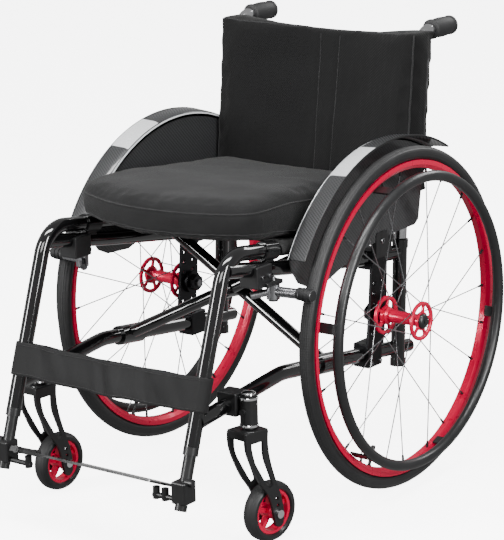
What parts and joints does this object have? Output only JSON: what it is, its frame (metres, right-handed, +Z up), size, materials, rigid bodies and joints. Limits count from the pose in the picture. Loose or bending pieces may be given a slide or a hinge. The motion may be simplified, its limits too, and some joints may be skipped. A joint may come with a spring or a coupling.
{
  "type": "manual wheelchair",
  "caption": "Folding manual wheelchair with a scissor cross brace, large push-rim wheels, swivelling casters, a one-piece footplate and a cushioned seat.",
  "frame": {"origin": "on the floor, under the centre of the bounding box", "axes": "+Z up; the user faces -Y; the user's left is +X"},
  "size_m": [0.611, 0.8359, 0.7765],
  "materials": {
    "frame_black": "high gloss black lacquer",
    "cane_metal": "polished dark chrome",
    "matte_black": "satin black powder coat",
    "plastic_black": "moulded black nylon",
    "grip_rubber": "matt black rubber",
    "plate_black": "black anodised aluminium",
    "steel": "brushed stainless steel",
    "bright": "bright chrome",
    "carbon": "clear-coated carbon twill",
    "red_anodised": "red anodised aluminium",
    "tyre_black": "solid matt black tyre",
    "handrim_black": "soft-touch black coating",
    "lock_grey": "grey anodised aluminium",
    "cushion_cloth": "charcoal knitted cover",
    "back_mesh": "black spacer mesh",
    "strap_web": "black woven nylon",
    "seat_web": "black woven nylon sling",
    "footplate_black": "black composite plate"
  },
  "bodies": {
    "left_frame": {"left_front_tube": "frame_black", "left_upper_tube": "frame_black", "left_lower_tube": "frame_black", "left_rear_tube": "frame_black", "left_back_tube": "cane_metal", "left_push_grip": "grip_rubber", "left_leg_extension": "matte_black", "left_axle_plate": "plate_black", "left_wheel_axle": "steel", "left_side_guard": "carbon", "left_caster_head": "matte_black", "left_rail_saddle": "plastic_black", "left_lock_bracket": "plastic_black", "footplate_catch": "matte_black", "seat_sling": "seat_web", "seat_cushion": "cushion_cloth", "backrest_cover": "back_mesh", "calf_strap": "strap_web"},
    "left_brace": {"left_brace": "frame_black", "right_seat_rail": "frame_black"},
    "right_brace": {"right_brace": "frame_black", "brace_bolt": "bright", "left_seat_rail": "frame_black"},
    "right_frame": {"right_front_tube": "frame_black", "right_upper_tube": "frame_black", "right_lower_tube": "frame_black", "right_rear_tube": "frame_black", "right_back_tube": "cane_metal", "right_push_grip": "grip_rubber", "right_leg_extension": "matte_black", "right_axle_plate": "plate_black", "right_wheel_axle": "steel", "right_side_guard": "carbon", "right_caster_head": "matte_black", "right_rail_saddle": "plastic_black", "right_lock_bracket": "plastic_black", "footplate_hinge": "matte_black"},
    "footplate": {"footplate": "footplate_black"},
    "left_wheel": {"left_wheel_tyre": "tyre_black", "left_wheel_rim": "red_anodised", "left_wheel_spokes": "steel", "left_wheel_hub": "red_anodised", "left_handrim": "handrim_black"},
    "left_caster": {"left_caster_fork": "matte_black", "left_caster_axle": "bright"},
    "left_caster_wheel": {"left_caster_rim": "red_anodised", "left_caster_tyre": "tyre_black"},
    "left_lock": {"left_lock_lever": "lock_grey"},
    "left_button": {"left_axle_button": "plastic_black"},
    "right_wheel": {"right_wheel_tyre": "tyre_black", "right_wheel_rim": "red_anodised", "right_wheel_spokes": "steel", "right_wheel_hub": "red_anodised", "right_handrim": "handrim_black"},
    "right_caster": {"right_caster_fork": "matte_black", "right_caster_axle": "bright"},
    "right_caster_wheel": {"right_caster_rim": "red_anodised", "right_caster_tyre": "tyre_black"},
    "right_lock": {"right_lock_lever": "lock_grey"},
    "right_button": {"right_axle_button": "plastic_black"}
  },
  "joints": [
    {"name": "fold", "type": "hinge", "parent": "left_frame", "child": "left_brace", "pos_m": [0.191, -0.00703, 0.2376], "axis": [0, 0.9934, -0.1146], "range_deg": [0, 40], "deforming": ["seat_sling", "seat_cushion", "backrest_cover", "calf_strap"]},
    {"name": "cross", "type": "hinge", "parent": "left_brace", "child": "right_brace", "pos_m": [0, 0.00469, 0.33918], "axis": [0, 0.9934, -0.1146], "range_deg": [-80, 0]},
    {"name": "right_side", "type": "hinge", "parent": "right_brace", "child": "right_frame", "pos_m": [-0.191, -0.00703, 0.2376], "axis": [0, 0.9934, -0.1146], "range_deg": [0, 40]},
    {"name": "footplate_flip", "type": "hinge", "parent": "right_frame", "child": "footplate", "pos_m": [-0.16, -0.37853, 0.1205], "axis": [0, -0.9205, 0.3907], "range_deg": [0, 90]},
    {"name": "left_wheel_spin", "type": "hinge", "parent": "left_frame", "child": "left_wheel", "pos_m": [0.259, 0.12297, 0.295], "axis": [1, 0, 0], "continuous": true},
    {"name": "left_caster_swivel", "type": "hinge", "parent": "left_frame", "child": "left_caster", "pos_m": [0.225, -0.27203, 0.23], "axis": [0, 0, 1], "continuous": true},
    {"name": "left_caster_spin", "type": "hinge", "parent": "left_caster", "child": "left_caster_wheel", "pos_m": [0.23181, -0.23261, 0.051], "axis": [0.9854, -0.1702, 0], "continuous": true},
    {"name": "left_lock_swing", "type": "hinge", "parent": "left_frame", "child": "left_lock", "pos_m": [0.203, -0.17123, 0.401], "axis": [0, 0, -1], "range_deg": [0, 70]},
    {"name": "left_button_press", "type": "slide", "parent": "left_frame", "child": "left_button", "axis": [-1, 0, 0], "range_m": [0, 0.002], "stiffness_N_per_m": 600, "springref_m": -0.001},
    {"name": "right_wheel_spin", "type": "hinge", "parent": "right_frame", "child": "right_wheel", "pos_m": [-0.259, 0.12297, 0.295], "axis": [1, 0, 0], "continuous": true},
    {"name": "right_caster_swivel", "type": "hinge", "parent": "right_frame", "child": "right_caster", "pos_m": [-0.225, -0.27203, 0.23], "axis": [0, 0, 1], "continuous": true},
    {"name": "right_caster_spin", "type": "hinge", "parent": "right_caster", "child": "right_caster_wheel", "pos_m": [-0.22179, -0.23216, 0.051], "axis": [0.9968, -0.0802, 0], "continuous": true},
    {"name": "right_lock_swing", "type": "hinge", "parent": "right_frame", "child": "right_lock", "pos_m": [-0.203, -0.17123, 0.401], "axis": [0, 0, 1], "range_deg": [0, 70]},
    {"name": "right_button_press", "type": "slide", "parent": "right_frame", "child": "right_button", "axis": [1, 0, 0], "range_m": [0, 0.002], "stiffness_N_per_m": 600, "springref_m": -0.001}
  ],
  "couplings": [
    {"joint": "cross", "follows": "fold", "ratio": -2},
    {"joint": "right_side", "follows": "fold", "ratio": 1},
    {"joint": "footplate_flip", "follows": "fold", "ratio": 2.25}
  ]
}
